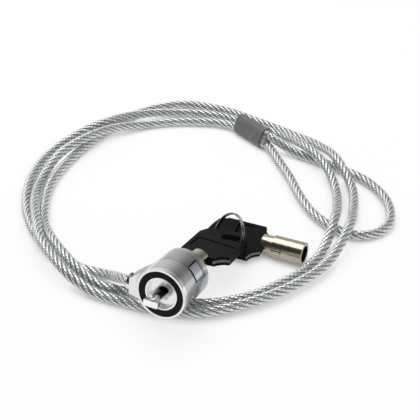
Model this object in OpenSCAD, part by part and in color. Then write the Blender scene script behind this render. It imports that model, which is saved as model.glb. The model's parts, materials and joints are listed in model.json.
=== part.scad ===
// Laptop cable lock: a round key lock with a swivelling cable arm, a steel cable
// that ends in a crimped eye, and two tubular keys on a split ring.
// Everything lies on a table: +Z is up and the nose of the lock points along -Y.

/* [Head] */
// Outside diameter of the lock head
head_d = 20; // [18:0.5:23]
// Length of the head from front rim to rear rim
head_len = 20; // [19.5:0.5:26]
// Length of the front flange that holds the cable arm on
bezel_len = 2.2; // [1.8:0.1:3]
// Length of the cable arm's collar along the head
collar_len = 7; // [6.8:0.1:7.4]
// Play of the collar between flange and rear housing, on each side
collar_play = 0.15; // [0.1:0.05:0.3]
// Diameter of the barrel that the collar turns on
barrel_d = 16.2; // [15.4:0.2:16.8]
// Radial running clearance of every turning fit
turn_gap = 0.1; // [0.05:0.01:0.12]
// Height of the middle of the front rim above the table
nose_z = 17.2; // [17:0.1:19]
// Angle by which the nose points upwards
tilt = 9.3; // [9:0.1:10]

/* [Nose] */
// Outside diameter of the rubber face ring
face_ring_d = 18.3; // [17:0.1:18.6]
// Hole in the rubber face ring
face_ring_hole = 13.3; // [12.5:0.1:14]
// Thickness of the rubber face ring
face_ring_t = 1.4; // [1:0.1:1.6]
// Depth of the chrome cup inside the rubber ring
cup_depth = 2.2; // [1.8:0.1:2.6]
// Thickness of the chrome cup
cup_t = 0.6; // [0.4:0.1:0.8]
// Opening in the floor of the cup round the spindle
cup_hole = 4.6; // [4:0.1:5]
// Length of the T-shaped bar end
tbar_w = 6; // [5:0.1:6.6]
// Height of the T-shaped bar end
tbar_h = 2.6; // [2:0.1:2.8]
// Thickness of the T-shaped bar end
tbar_t = 1.7; // [1.2:0.1:2.4]
// Reach of the bar end in front of the rim
tbar_reach = 7.7; // [6:0.1:9]
// Diameter of the spindle's neck
neck_d = 2.9; // [2.4:0.1:3]
// Diameter of the spindle inside the head
spindle_d = 4.4; // [3.6:0.1:4.6]
// Diameter of each locating pin
loc_pin_d = 1.7; // [1.2:0.1:2]
// Distance from the middle to each locating pin
loc_pin_at = 2.6; // [2.5:0.05:3]
// Reach of the locating pins in front of the rim
loc_pin_reach = 2.8; // [2:0.1:4]

/* [Cable arm] */
// Distance from the head's axis to the end of the arm
arm_reach = 16; // [15:0.5:18]
// Diameter of the round boss that takes the cable
boss_d = 6.6; // [6.4:0.1:6.8]
// Distance of the boss behind the front rim
boss_at = 5.75; // [5.7:0.05:5.85]
// Height of the boss against the head's axis
boss_up = -2.2; // [-3:0.1:-1]
// Depth of the cable's socket in the boss
socket_depth = 5; // [4:0.5:6]

/* [Lock works] */
// Outside diameter of the tubular key
key_d = 9.6; // [9.2:0.1:9.8]
// Inside diameter of the tubular key
key_bore = 7; // [6.6:0.1:7.2]
// Play between the key and the keyway, on each side
key_play = 0.15; // [0.1:0.01:0.2]
// Number of tumbler pins
pin_count = 7; // [5:1:7]
// Diameter of each tumbler pin
pin_d = 1.1; // [0.8:0.1:1.2]
// Distance from the middle to the tumbler pins
pin_at = 4; // [3.9:0.05:4.1]
// Diameter of the wire of the tumbler springs
spring_wire = 0.2; // [0.15:0.05:0.25]
// Front and rear of the tumbler block, behind the front rim
block_from = 4.8; // [4.6:0.1:5]
block_to = 9.6; // [9.2:0.1:9.8]
// Rear of the turning plug, behind the front rim
plug_to = 13.6; // [13:0.1:13.8]

/* [Keys] */
// How far the key reaches into the head
key_in = 6.2; // [6:0.1:6.2]
// Length of the key's tube
tube_len = 13.2; // [12:0.2:15]
// Length of the neck between tube and grip
key_neck_len = 5; // [4:0.5:7]
// Diameter of the key's neck
key_neck_d = 8.4; // [7:0.2:9]
// Thickness of the plastic grip
grip_t = 3.6; // [3:0.1:3.7]
// Half width of the plastic grip
grip_half = 10.6; // [9:0.1:11]
// Sideways set of the grip against the tube
grip_shift = 1.2; // [0:0.1:1.5]
// Length of the grip's straight sides
grip_side = 17.2; // [14:0.2:20]
// Thickness of the metal plate inside the grip
tang_t = 1.5; // [1:0.1:2]
// Width of the ring's slot in the grip
slot_w = 4.6; // [4.2:0.1:4.6]
// Roll of the first key about its axis
key_roll = 5; // [4:0.5:6]

/* [Ring] */
// Diameter of the split ring, to the middle of its wire
ring_d = 18.1; // [18:0.1:18.2]
// Diameter of the ring's wire
ring_wire = 0.8; // [0.7:0.1:0.9]

/* [Cable] */
// Outside diameter of the coated cable
cable_d = 4.4; // [4:0.1:4.4]
// Length of the crimped ferrule
ferrule_len = 22; // [18:0.5:22]
// Width of the ferrule, across its two lanes
ferrule_w = 9.4; // [9.2:0.1:9.6]
// Thickness of the ferrule
ferrule_t = 5.6; // [5.4:0.1:5.8]
// Wall of the plastic sleeve over the ferrule
sleeve_t = 0.5; // [0.3:0.1:0.6]

/* [Hidden] */
$fn = 64;

// Where the foot of the nose stands against the middle of the lock and keys
lay_x = -8.6;
lay_y = -31.4;

// Stations along the head, measured back from the front rim
head_r = head_d / 2;
collar_from = bezel_len + collar_play;
collar_to = collar_from + collar_len;
housing_from = collar_to + collar_play;
spigot_to = plug_to + 0.3;
core_from = spigot_to;
cap_t = 2.6;
cap_from = head_len - cap_t;
cap_spigot = 0.8;
web_from = cup_depth + cup_t;
web_to = block_from - 0.4;

// Radii that share a fit
barrel_r = barrel_d / 2;
spigot_r = barrel_r - 0.7;
chamber_r = key_d / 2 + 0.8;
plug_r = chamber_r - turn_gap;
block_r = chamber_r - 0.05;
spindle_r = spindle_d / 2;
spindle_bore = spindle_r + turn_gap;
keyway_r = key_d / 2 + key_play;
post_r = key_bore / 2 - key_play - 0.05;
seat_gap = 0.05;
cup_r = face_ring_hole / 2 - seat_gap;
lug_r = head_r - 0.15;
lug_side = 0.45;
window_from = 18;
window_to = 58;
window_end = 16.4;

// Pin that stops the plug at each end of its quarter turn
stop_angle = -60;
stop_at = chamber_r - 0.1;
stop_r = 0.35;

// The key, measured back from the open end of its tube
key_tip = head_len - key_in;
root_at = tube_len + key_neck_len - 1;
shoulder_at = root_at + 3.3;
side_end = shoulder_at + grip_side;
grip_end = side_end + 4.1;
slot_at = side_end - 0.7;
slot_from = 3.2;
slot_to = 8.6;

// Second key: the open end of its tube, its slope and its height on the table
key_2_tip = [33, 61.2];
key_2_slope = 1.75;

// Ring: its middle, and the turns that set its plane
ring_mid = [2.1, 54.4, 9];
ring_turn = 52.7;
ring_lean = -29.3;

// ---------------------------------------------------------------- places

// Puts children, drawn round the foot of the nose, into the part's frame
module at_lay() translate([lay_x, lay_y, 0]) children();

// Head's own frame: origin in the front rim's plane, +Z out of the nose, +Y up
module at_head() at_lay() translate([0, 0, nose_z]) rotate([90 - tilt, 0, 0]) children();

// Round solid between two stations behind the front rim
module band(r_out, from, to)
    translate([0, 0, -to]) cylinder(r = r_out, h = to - from);

// Tube between two stations
module tube(r_out, r_in, from, to)
    difference() {
        band(r_out, from, to);
        band(r_in, from - 1, to + 1);
    }

// Sector between two angles, as tall as it must be
module sector(r, a0, a1, from, to)
    translate([0, 0, -to])
        linear_extrude(to - from)
            polygon(concat([[0, 0]],
                           [for (i = [0:6]) let (a = a0 + (a1 - a0) * i / 6) r * [cos(a), sin(a)]]));

// ---------------------------------------------------------------- lock body

module lock_barrel() color("silver") at_head()
    difference() {
        union() {
            band(head_r, 0, bezel_len);
            band(barrel_r, bezel_len - 0.01, housing_from);
            band(spigot_r, housing_from - 0.01, spigot_to);
        }
        band(face_ring_d / 2 + seat_gap, -1, face_ring_t);
        band(cup_r + seat_gap, -1, web_from);
        band(spindle_bore, web_from - 1, web_to + 1);
        band(chamber_r, web_to, spigot_to + 1);
        rotate(stop_angle) translate([stop_at, 0, 0]) band(stop_r + 0.1, plug_to - 2, spigot_to + 1);
    }

module face_ring() color("black") at_head()
    tube(face_ring_d / 2, face_ring_hole / 2, 0, face_ring_t);

module nose_cup() color("white") at_head()
    difference() {
        union() {
            tube(cup_r, cup_r - cup_t, 0.2, cup_depth);
            tube(cup_r, cup_hole / 2, cup_depth - 0.01, web_from);
        }
        for (side = [-1, 1])
            translate([side * loc_pin_at, 0, 0]) band(loc_pin_d / 2, 0, head_len);
    }

module locating_pins() color("gainsboro") at_head()
    for (side = [-1, 1])
        translate([side * loc_pin_at, 0, 0])
            band(loc_pin_d / 2, -loc_pin_reach, web_from);

// Window in the housing, through which the core's lug shows
module window(from, to)
    intersection() {
        sector(head_r * 2, window_from, window_to, from, to);
        tube(head_r + 1, spigot_r - 0.5, from, to);
    }

module rear_housing() color("silver") at_head()
    difference() {
        band(head_r, housing_from, cap_from - 0.05);
        band(spigot_r + seat_gap, housing_from - 1, head_len);
        window(housing_from - 1, window_end);
    }

// Sleeve round the keyway, with a lug that lies in the housing's window
module lock_core() color("lightsteelblue") at_head()
    difference() {
        union() {
            tube(spigot_r, keyway_r, core_from, cap_from - cap_spigot);
            intersection() {
                sector(head_r * 2, window_from + 1, window_to - 4, housing_from + 1, window_end - 0.3);
                tube(lug_r, spigot_r + 0.1, housing_from, window_end);
            }
            intersection() {
                sector(head_r * 2, window_from + 1, window_to - 4, core_from + 0.2, window_end - 0.3);
                tube(lug_r, spigot_r - 0.4, core_from, window_end);
            }
        }
        rotate(stop_angle) translate([stop_at, 0, 0]) band(stop_r + 0.02, core_from - 1, core_from + 0.8);
    }

module rear_cap() color("gray") at_head()
    difference() {
        union() {
            band(head_r, cap_from, head_len - 0.5);
            translate([0, 0, -head_len]) cylinder(r1 = head_r - 0.5, r2 = head_r, h = 0.51);
            band(spigot_r, cap_from - cap_spigot, cap_from + 0.01);
        }
        band(keyway_r + 0.1, cap_from - 2, head_len + 1);
    }

module tumbler_block() color("goldenrod") at_head()
    difference() {
        tube(block_r, spindle_bore, block_from, block_to);
        for (i = [0:pin_count - 1])
            rotate(i * 360 / pin_count)
                translate([pin_at, 0, 0]) band(pin_d / 2 + seat_gap, block_from + 0.6, block_to + 1);
    }

// Groove in the plug's rim that lets it turn a quarter turn past the stop pin
module stop_groove()
    intersection() {
        sector(plug_r + 1, stop_angle - 102, stop_angle + 12, plug_to - 2, plug_to + 1);
        tube(plug_r + 1, stop_at - stop_r - 0.15, plug_to - 2, plug_to + 1);
    }

module stop_pin() color("dimgray") at_head()
    rotate(stop_angle) translate([stop_at, 0, 0]) band(stop_r, plug_to - 1.8, core_from + 0.8);

module turning_plug() color("goldenrod") at_head()
    difference() {
        union() {
            tube(plug_r, spindle_r + 0.02, block_to + 0.2, plug_to);
            band(post_r, plug_to - 0.01, head_len - 0.5);
        }
        for (i = [0:pin_count - 1])
            rotate(i * 360 / pin_count)
                translate([pin_at, 0, 0]) band(pin_d / 2 + seat_gap, block_to - 1, plug_to + 0.05);
        stop_groove();
    }

module key_pins() color("peru") at_head()
    for (i = [0:pin_count - 1])
        rotate(i * 360 / pin_count)
            translate([pin_at, 0, 0]) band(pin_d / 2, block_to + 0.3, plug_to + 0.1);

module driver_pins() color("peru") at_head()
    for (i = [0:pin_count - 1])
        rotate(i * 360 / pin_count)
            translate([pin_at, 0, 0]) band(pin_d / 2, block_to - 1.9, block_to);

module tumbler_springs() color("lightgray") at_head()
    for (i = [0:pin_count - 1])
        rotate(i * 360 / pin_count)
            translate([pin_at, 0, 0])
                tube(pin_d / 2 - 0.02, pin_d / 2 - 0.02 - spring_wire, block_from + 0.6, block_to - 1.9);

// ---------------------------------------------------------------- nose and spindle

module t_bar() color("white") at_head()
    union() {
        translate([0, 0, tbar_reach - tbar_t])
            intersection() {
                cylinder(r = tbar_w / 2, h = tbar_t);
                translate([-tbar_w / 2, -tbar_h / 2, 0]) cube([tbar_w, tbar_h, tbar_t]);
            }
        band(neck_d / 2, -tbar_reach + tbar_t - 0.01, web_from + 0.2);
        band(spindle_r, web_from + 0.19, plug_to);
    }

module spindle_clip() color("dimgray") at_head()
    tube(spindle_r + 0.8, spindle_r + 0.02, web_to + 0.05, block_from - 0.05);

// ---------------------------------------------------------------- cable arm

module swivel_collar() color("silver") at_head()
    difference() {
        union() {
            band(head_r, collar_from, collar_to);
            translate([0, 0, -collar_to])
                linear_extrude(collar_len)
                    arm_outline();
            translate([-arm_reach, boss_up, -boss_at])
                rotate([0, 90, 0]) cylinder(d = boss_d, h = arm_reach - head_r + 1);
        }
        band(barrel_r + turn_gap, collar_from - 1, collar_to + 1);
        translate([-arm_reach - 1, boss_up, -boss_at])
            rotate([0, 90, 0]) cylinder(d = cable_d + 0.2, h = socket_depth + 1);
    }

// Teardrop arm: two straight sides from the boss to the collar's rim
module arm_outline() {
    tip = arm_reach - 1.4;
    polygon([[-tip, boss_up + boss_d / 2 + 0.1], [-head_r * 0.64, head_r * 0.768],
             [0, 0], [-head_r * 0.72, -head_r * 0.694], [-tip, boss_up - boss_d / 2 - 0.1]]);
}

module cable_anchor() color("darkgoldenrod") at_head()
    translate([-arm_reach + socket_depth - 1.5, boss_up, -boss_at])
        rotate([0, 90, 0]) cylinder(d = cable_d + 0.1, h = 1.5);

// ---------------------------------------------------------------- keys and ring

// Outline of the plastic grip, widest at its shoulders, rounded at the far end
module grip_outline()
    difference() {
        polygon(concat(
            [[-5.8, root_at], [5.8, root_at], [grip_half, shoulder_at], [grip_half, side_end],
             [grip_half - 2.3, grip_end]],
            [for (i = [1:7]) let (x = (grip_half - 2.3) * (1 - i / 4))
                [x, grip_end + 1.2 * cos(90 * x / (grip_half - 2.3))]],
            [[-grip_half + 2.3, grip_end], [-grip_half, side_end], [-grip_half, shoulder_at]]));
        for (side = [-1, 1])
            translate([side * 11.2, root_at - 2.9]) circle(r = 6.3);
    }

// Slot near one corner of the grip, for the split ring
module ring_slot(grow)
    for (x = [slot_from, slot_to])
        translate([x, slot_at]) circle(d = slot_w + grow);

module slot_solid(grow)
    translate([0, 0, -10])
        linear_extrude(20)
            union() {
                ring_slot(grow);
                translate([slot_from, slot_at - slot_w / 2 - grow / 2])
                    square([slot_to - slot_from, slot_w + grow]);
            }

module grip() color([0.1, 0.1, 0.1])
    key_flat()
        difference() {
            translate([grip_shift, 0, -grip_t / 2]) linear_extrude(grip_t) grip_outline();
            slot_solid(0);
            tang(0.02);
            translate([0, root_at - 4, 0]) rotate([-90, 0, 0]) cylinder(d = key_neck_d, h = 5);
        }

// Metal plate that the grip is moulded round
module tang(grow)
    translate([-4.2 - grow, root_at + 0.9, -tang_t / 2 - grow])
        cube([8.4 + 2 * grow, slot_at - root_at - 4, tang_t + 2 * grow]);

// Turns the grip's drawing plane into the key's: y back from the tip becomes -Z
module key_flat() rotate([-90, 0, 0]) mirror([0, 0, 1]) children();

module blade() color([0.75, 0.72, 0.65])
    union() {
        difference() {
            union() {
                band(key_d / 2, 0, tube_len);
                band(key_neck_d / 2, tube_len - 0.01, root_at + 0.95);
            }
            band(key_bore / 2, -1, tube_len - 1.2);
        }
        key_flat() tang(0);
    }

module at_key_1() at_head() translate([0, 0, -key_tip]) rotate(key_roll) children();

module at_key_2()
    at_lay()
        translate([key_2_tip[0], key_2_tip[1], key_d / 2])
            rotate([0, -key_2_slope, 0]) rotate([90, 0, 90]) rotate(180) children();

module key_1_blade() at_key_1() blade();
module key_1_grip() at_key_1() grip();
module key_2_blade() at_key_2() blade();
module key_2_grip() at_key_2() grip();

// Two turns of wire pressed together, as one closed ring
module split_ring() color("silver")
    at_lay() translate(ring_mid) rotate([0, 0, ring_turn]) rotate([0, 90 - ring_lean, 0])
        rotate_extrude($fn = 72)
            translate([ring_d / 2, 0])
                union() {
                    square([ring_wire, ring_wire], center = true);
                    for (side = [-1, 1])
                        translate([0, side * ring_wire / 2]) circle(d = ring_wire, $fn = 24);
                }

// ---------------------------------------------------------------- cable

boss_y = boss_at * cos(tilt) + boss_up * sin(tilt);
boss_z = nose_z - boss_at * sin(tilt) + boss_up * cos(tilt);
anchor_x = -arm_reach + socket_depth - 1.5;

// The ferrule: its middle, its turn about the vertical, and how far it leans back
ferrule_turn = -26;
ferrule_lean = 24;
ferrule_r = ferrule_t / 2;
sleeve_r = ferrule_r + sleeve_t;
ferrule_half = (ferrule_w - ferrule_t) / 2;
ferrule_mid = [-26, 144, sleeve_r + ferrule_half * cos(ferrule_lean)];
ferrule_end = ferrule_len / 2;
lane_gap = cable_d + 0.2;

// Point in the lower (-1) or upper (1) lane of the ferrule, x along its length
function lane(x, side) =
    ferrule_mid + x * [cos(ferrule_turn), sin(ferrule_turn), 0]
    + side * lane_gap / 2 * [-sin(ferrule_turn) * sin(ferrule_lean),
                             cos(ferrule_turn) * sin(ferrule_lean), cos(ferrule_lean)];

// Route of the cable, from the arm's socket round two and a half turns to the ferrule
TURN_1 = [[anchor_x, boss_y, boss_z], [-16, boss_y, boss_z], [-22.5, 8.5, 11],
          [-30, 14.5, 5.2], [-38, 16.5, 2.3], [-48, 16.5, 2.2], [-65, 21.5, 2.2],
          [-80.5, 31.5, 2.2], [-93.5, 45.5, 2.2], [-103, 62.5, 2.2], [-108, 82, 2.2],
          [-105.5, 102, 3.6], [-94.5, 119.5, 7], [-84.5, 137, 4.6], [-69.5, 150, 2.4],
          [-50, 156, 2.2], [-30, 154, 2.2]];
TURN_2 = [[-12, 149.5, 3.1], [3, 139, 7], [17, 129, 5.4], [27.5, 115.5, 2.4],
          [34, 98, 5.4], [36.5, 87.5, 7], [38, 76, 4.8], [38, 65, 2.8], [36, 54.5, 2.2], [32.5, 46, 2.2],
          [22.5, 29.5, 2.2], [7.5, 17.5, 2.2], [-11.5, 13.5, 2.2], [-30, 10, 2.3],
          [-38.5, 10.5, 3.6], [-48.5, 13.5, 6.3], [-64, 23, 7], [-76.5, 35.5, 3.2],
          [-86, 49.5, 2.2]];
TURN_3 = [[-93, 65, 2.2], [-96, 82, 2.2], [-96.5, 100, 2.2],
          [-95, 119.5, 2.2], [-89.5, 141, 2.2], [-74, 158.5, 2.2], [-51.5, 162.5, 2.2],
          [-30, 159, 2.2], [-10.5, 154.5, 2.2], [8, 146.5, 4.2], [21, 134, 7.2],
          [34, 119, 3], [40.5, 101, 3.9], [44, 85, 7.2], [43.5, 62.5, 4.4], [37, 43.5, 3.9],
          [25.5, 26, 3.6], [10, 12.5, 2.8], [-10, 7, 2.2]];
TURN_4 = [[-30, 5, 2.4], [-40, 5.8, 4.2], [-49.5, 8.5, 6.6], [-66, 18.5, 8], [-79, 33, 6.9],
          [-89.5, 47, 4.8], [-98, 63.5, 2.4], [-100, 82, 5.8], [-96, 99.5, 6.9],
          [-90.5, 117, 4.9], [-79.5, 131.5, 2.3], [-65, 142, 2.2], [-48, 148.5, 2.4],
          lane(-ferrule_end, -1)];

module at_ferrule()
    at_lay() translate(ferrule_mid) rotate([0, 0, ferrule_turn]) rotate([-ferrule_lean, 0, 0])
        children();

// Bar along X with round edges, as wide in Z as the ferrule
module oval_bar(r, from, to)
    translate([from, 0, 0]) rotate([90, 0, 90])
        linear_extrude(to - from)
            union() {
                for (side = [-1, 1]) translate([0, side * ferrule_half]) circle(r = r);
                square([2 * r, 2 * ferrule_half], center = true);
            }

EYE = [lane(ferrule_end, -1), [-12.5, 135, 2.6], [-4.5, 126.5, 2.2], [5, 116, 2.2],
       [14.5, 104, 2.2], [25, 93.5, 2.2], [37, 87, 2.2], [47.5, 86.5, 2.2], [55, 93.5, 2.2],
       [56.5, 104, 2.2], [50.5, 118, 2.2], [38, 129, 2.2], [22, 134.3, 2.2], [4, 137.3, 2.2],
       [-5, 138.2, 3.8], [-11, 138.8, 6], lane(ferrule_end, 1)];

ROUTE = concat(TURN_1, TURN_2, TURN_3, TURN_4);
end_1 = len(TURN_1) - 1;
end_2 = end_1 + len(TURN_2);
end_3 = end_2 + len(TURN_3);
end_4 = end_3 + len(TURN_4);

// Tube swept along part of a route: level rings of points joined by four-sided faces
function unit(v) = v / norm(v);
function heading(p, i) = unit(p[min(len(p) - 1, i + 1)] - p[max(0, i - 1)]);
function side_of(h) = unit(cross(h, [0, 0, 1]));
function ring_points(p, i, r, n) =
    let (h = heading(p, i), s = side_of(h), u = cross(s, h))
        [for (k = [0:n - 1]) let (a = (k + 0.5) * 360 / n) p[i] + r * (cos(a) * s + sin(a) * u)];

module cord(route, from, to) {
    n = 8;
    span = to - from;
    at_lay()
        polyhedron(
            points = [for (i = [from:to]) each ring_points(route, i, cable_d / 2, n)],
            faces = concat(
                [[for (k = [0:n - 1]) k]],
                [for (i = [0:span - 1]) for (k = [0:n - 1])
                    let (a = i * n + k, b = i * n + (k + 1) % n) [b, a, a + n, b + n]],
                [[for (k = [n - 1:-1:0]) span * n + k]]));
}

module cable_turn_1() color("lightgray") cord(ROUTE, 0, end_1);
module cable_turn_2() color("lightgray") cord(ROUTE, end_1, end_2);
module cable_turn_3() color("lightgray") cord(ROUTE, end_2, end_3);
module cable_turn_4() color("lightgray") cord(ROUTE, end_3, end_4);
module cable_eye() color("lightgray") cord(EYE, 0, len(EYE) - 1);

module ferrule() color("gainsboro") at_ferrule()
    oval_bar(ferrule_r, -ferrule_end, ferrule_end);

module ferrule_sleeve() color("gray") at_ferrule()
    difference() {
        oval_bar(sleeve_r, -ferrule_end, ferrule_end - 2.5);
        oval_bar(ferrule_r + 0.02, -ferrule_end - 1, ferrule_end);
    }

lock_barrel();
face_ring();
nose_cup();
locating_pins();
t_bar();
spindle_clip();
swivel_collar();
cable_anchor();
rear_housing();
lock_core();
rear_cap();
tumbler_block();
turning_plug();
key_pins();
driver_pins();
tumbler_springs();
stop_pin();
key_1_blade();
key_1_grip();
key_2_blade();
key_2_grip();
split_ring();
cable_turn_1();
cable_turn_2();
cable_turn_3();
cable_turn_4();
cable_eye();
ferrule();
ferrule_sleeve();
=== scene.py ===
import json
import math

import bmesh
import bpy
import numpy as np
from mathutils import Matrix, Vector


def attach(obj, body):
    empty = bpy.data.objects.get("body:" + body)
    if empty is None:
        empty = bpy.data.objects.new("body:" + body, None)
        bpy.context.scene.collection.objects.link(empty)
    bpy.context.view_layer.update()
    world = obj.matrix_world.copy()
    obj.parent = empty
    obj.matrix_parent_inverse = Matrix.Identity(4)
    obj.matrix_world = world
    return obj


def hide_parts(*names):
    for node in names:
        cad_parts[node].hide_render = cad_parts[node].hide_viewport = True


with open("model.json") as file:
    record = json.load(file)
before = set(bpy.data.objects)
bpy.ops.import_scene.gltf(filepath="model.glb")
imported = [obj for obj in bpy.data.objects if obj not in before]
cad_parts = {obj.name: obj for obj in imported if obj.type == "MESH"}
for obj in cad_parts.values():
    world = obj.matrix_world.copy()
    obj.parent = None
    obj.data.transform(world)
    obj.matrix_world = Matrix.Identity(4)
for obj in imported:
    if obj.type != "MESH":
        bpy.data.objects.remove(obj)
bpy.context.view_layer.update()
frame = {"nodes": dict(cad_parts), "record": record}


# ---------------------------------------------------------------------------
# Camera: a slightly long lens held about 23 cm above the table, in front of the
# lock and to its right, looking down at the middle of the coil.
# ---------------------------------------------------------------------------
SENSOR_MM = 36.0
LENS_MM = 78.86
CAMERA_AT = (0.12091, -0.25589, 0.23223)
AIMED_AT = (-0.02721, 0.04781, 0.0)
camera_data = bpy.data.cameras.new("camera")
camera_data.sensor_width = SENSOR_MM
camera_data.lens = LENS_MM
camera_data.clip_start = 0.01
camera_data.clip_end = 20.0
camera = bpy.data.objects.new("camera", camera_data)
camera.location = CAMERA_AT
aim = Vector(AIMED_AT) - Vector(CAMERA_AT)
camera.rotation_euler = aim.to_track_quat("-Z", "Y").to_euler()
bpy.context.scene.collection.objects.link(camera)
bpy.context.scene.camera = camera
bpy.context.scene.view_settings.view_transform = "Standard"


# ---------------------------------------------------------------------------
# Light tent: an even fill, a large soft panel over the coil and a smaller one to
# the right. Metal also shows the tent's walls: bright behind the coil on its
# left, grey and low on its right and in front, and black above the front one.
# ---------------------------------------------------------------------------
DOME_FILL = 0.84
LEFT_WALL_EDGE = (0.33, -0.60)
LEFT_WALL_GLOW = (0.22, 0.80)
RIGHT_WALL_EDGE = (0.30, 0.60)
RIGHT_WALL_GLOW = 0.26
RIGHT_WALL_TOP = (0.30, 0.55)
FRONT_EDGE = (-0.40, 0.30)
FRONT_SHARE = 0.08
FRONT_WALL_EDGE = (-0.30, -0.60)
FRONT_WALL_GLOW = 0.50
FRONT_WALL_TOP = (0.22, 0.45)
OVERHEAD_AT = (-0.30, 0.22, 0.95)
OVERHEAD_TARGET = (-0.03, 0.04, 0.0)
OVERHEAD_SIDE = 0.80
OVERHEAD_POWER = 4.0
RIGHT_AT = (0.75, -0.15, 0.60)
RIGHT_TARGET = (-0.02, 0.03, 0.0)
RIGHT_SIDE = 0.40
RIGHT_POWER = 0.7
world = bpy.data.worlds.new("light_tent")
bpy.context.scene.world = world
world.use_nodes = True
tent = world.node_tree
tent.nodes.clear()


def wire_up(tree, out_node, out_name, in_node, in_name):
    """Joins one node's output to another's input."""
    tree.links.new(out_node.outputs[out_name], in_node.inputs[in_name])


def tent_step(source, socket, edge, values):
    """A smooth step of one number: from the first value to the second over the edge."""
    step = tent.nodes.new("ShaderNodeMapRange")
    step.interpolation_type = "SMOOTHSTEP"
    step.inputs["From Min"].default_value = edge[0]
    step.inputs["From Max"].default_value = edge[1]
    step.inputs["To Min"].default_value = values[0]
    step.inputs["To Max"].default_value = values[1]
    wire_up(tent, source, socket, step, "Value")
    return step.outputs["Result"]


def worked_out(tree, operation, *values):
    """The result of a math node, whose inputs are other nodes' outputs or numbers."""
    node = tree.nodes.new("ShaderNodeMath")
    node.operation = operation
    for place, value in enumerate(values):
        if isinstance(value, float):
            node.inputs[place].default_value = value
        else:
            tree.links.new(value, node.inputs[place])
    return node.outputs[0]


direction = tent.nodes.new("ShaderNodeTexCoord")
parts_of = tent.nodes.new("ShaderNodeSeparateXYZ")
wire_up(tent, direction, "Generated", parts_of, 0)
left_wall = tent_step(parts_of, "X", LEFT_WALL_EDGE, LEFT_WALL_GLOW)
right_wall = tent_step(parts_of, "X", RIGHT_WALL_EDGE, (0.0, RIGHT_WALL_GLOW))
right_top = tent_step(parts_of, "Z", RIGHT_WALL_TOP, (1.0, 0.0))
front_dim = tent_step(parts_of, "Y", FRONT_EDGE, (FRONT_SHARE, 1.0))
front_wall = tent_step(parts_of, "Y", FRONT_WALL_EDGE, (0.0, FRONT_WALL_GLOW))
front_top = tent_step(parts_of, "Z", FRONT_WALL_TOP, (1.0, 0.0))
low_right_wall = worked_out(tent, "MULTIPLY", right_wall, right_top)
low_front_wall = worked_out(tent, "MULTIPLY", front_wall, front_top)
side_walls = worked_out(tent, "ADD", left_wall, low_right_wall)
back_walls = worked_out(tent, "MULTIPLY", side_walls, front_dim)
walls = worked_out(tent, "ADD", back_walls, low_front_wall)
rays = tent.nodes.new("ShaderNodeLightPath").outputs
seen_direct = worked_out(tent, "MAXIMUM", rays["Is Camera Ray"], rays["Is Transmission Ray"])
seen_at_all = worked_out(tent, "MAXIMUM", seen_direct, rays["Is Glossy Ray"])
wall_strength = worked_out(tent, "MAXIMUM", walls, seen_direct)
grey_fill = tent.nodes.new("ShaderNodeBackground")
grey_fill.inputs["Strength"].default_value = DOME_FILL
white_wall = tent.nodes.new("ShaderNodeBackground")
white_wall.inputs["Color"].default_value = (1.0, 1.0, 1.0, 1.0)
tent.links.new(wall_strength, white_wall.inputs["Strength"])
choose = tent.nodes.new("ShaderNodeMixShader")
tent.links.new(seen_at_all, choose.inputs[0])
wire_up(tent, grey_fill, 0, choose, 1)
wire_up(tent, white_wall, 0, choose, 2)
tent_out = tent.nodes.new("ShaderNodeOutputWorld")
wire_up(tent, choose, 0, tent_out, 0)


def soft_panel(name, place, target, side, power):
    """A square area lamp of a side and power, at a place, turned to face a target."""
    lamp = bpy.data.lights.new(name, "AREA")
    lamp.shape = "SQUARE"
    lamp.size = side
    lamp.energy = power
    panel = bpy.data.objects.new(name, lamp)
    panel.location = place
    turn = (Vector(target) - Vector(place)).to_track_quat("-Z", "Y")
    panel.rotation_euler = turn.to_euler()
    bpy.context.scene.collection.objects.link(panel)


soft_panel("overhead_panel", OVERHEAD_AT, OVERHEAD_TARGET, OVERHEAD_SIDE, OVERHEAD_POWER)
soft_panel("right_panel", RIGHT_AT, RIGHT_TARGET, RIGHT_SIDE, RIGHT_POWER)


# ---------------------------------------------------------------------------
# Table: one large matt white sheet that the lock, its keys and the coil lie on. It
# is not part of the lock. To the camera and in mirrors it also shows some white of
# its own, less in narrow gaps, and it keeps a faint shadow.
# ---------------------------------------------------------------------------
def mesh_piece(name, points, faces, smooth=True):
    """One mesh object at the origin from arrays of points and face corners."""
    mesh = bpy.data.meshes.new(name)
    mesh.from_pydata([tuple(p) for p in points], [], [tuple(f) for f in faces])
    mesh.polygons.foreach_set("use_smooth", np.full(len(mesh.polygons), smooth))
    mesh.update()
    piece = bpy.data.objects.new(name, mesh)
    bpy.context.scene.collection.objects.link(piece)
    return piece


TABLE_HALF = 3.0
SHEET_SEEN = 0.75
GAP_REACH = 0.0035
SHEET_MIRRORED = 0.35
table_corners = [(-1, -1), (1, -1), (1, 1), (-1, 1)]
table = mesh_piece("table_sheet",
                   [(TABLE_HALF * x, TABLE_HALF * y, 0.0) for x, y in table_corners],
                   [(0, 1, 2, 3)], smooth=False)
sheet_paint = bpy.data.materials.new("white_sheet")
sheet_paint.use_nodes = True
sheet_shader = sheet_paint.node_tree.nodes["Principled BSDF"]
sheet_shader.inputs["Base Color"].default_value = (0.97, 0.97, 0.97, 1.0)
sheet_shader.inputs["Roughness"].default_value = 0.9
sheet_shader.inputs["Specular IOR Level"].default_value = 0.1
sheet_tree = sheet_paint.node_tree
sheet_open = sheet_tree.nodes.new("ShaderNodeAmbientOcclusion")
sheet_open.samples = 12
sheet_open.inputs["Distance"].default_value = GAP_REACH
sheet_rays = sheet_tree.nodes.new("ShaderNodeLightPath").outputs
sheet_lit = worked_out(sheet_tree, "MULTIPLY", sheet_open.outputs["AO"], SHEET_SEEN)
sheet_seen = worked_out(sheet_tree, "MULTIPLY", sheet_rays["Is Camera Ray"], sheet_lit)
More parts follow.
